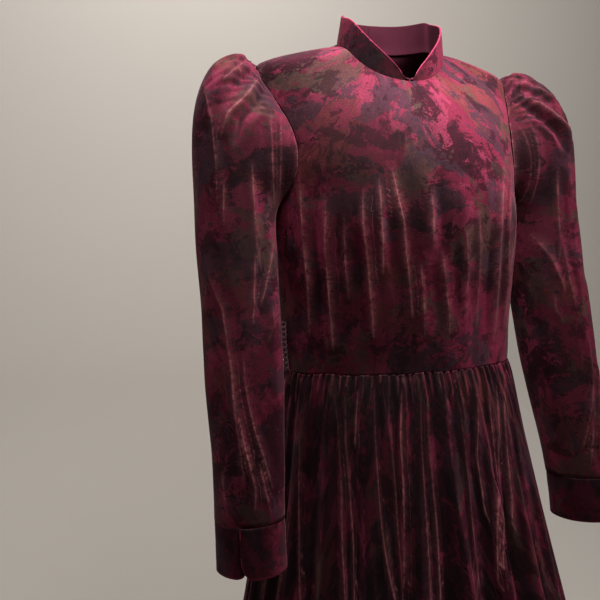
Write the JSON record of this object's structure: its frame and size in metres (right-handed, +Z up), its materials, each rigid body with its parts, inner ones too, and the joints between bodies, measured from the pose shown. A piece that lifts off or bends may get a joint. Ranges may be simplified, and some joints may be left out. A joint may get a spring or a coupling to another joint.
{
  "type": "maxi dress",
  "caption": "Floor-length velvet dress with a notched stand collar, fitted bodice, long sleeves puffed at the shoulder, split cuffs and a skirt gathered into the waist seam.",
  "frame": {"origin": "middle of the neck opening, level with the high points of the two shoulder seams", "axes": "X points to the wearer's left, the front of the dress faces -Y and Z points up, with the hem at the foot"},
  "size_m": [0.724, 0.626, 1.4259],
  "materials": {
    "print_velvet": "printed stretch velvet",
    "plain_velvet": "dark velvet"
  },
  "bodies": {
    "root": {"bodice_front": "print_velvet", "bodice_back_left": "print_velvet", "bodice_back_right": "print_velvet", "collar_left": "print_velvet", "collar_right": "print_velvet", "sleeve_left": "print_velvet", "sleeve_right": "print_velvet", "cuff_left": "print_velvet", "cuff_right": "print_velvet", "belt_loop_left": "plain_velvet", "belt_loop_right": "plain_velvet", "skirt_front": "print_velvet", "skirt_back": "print_velvet", "nape_button": "plain_velvet", "nape_loop": "plain_velvet"}
  },
  "joints": []
}
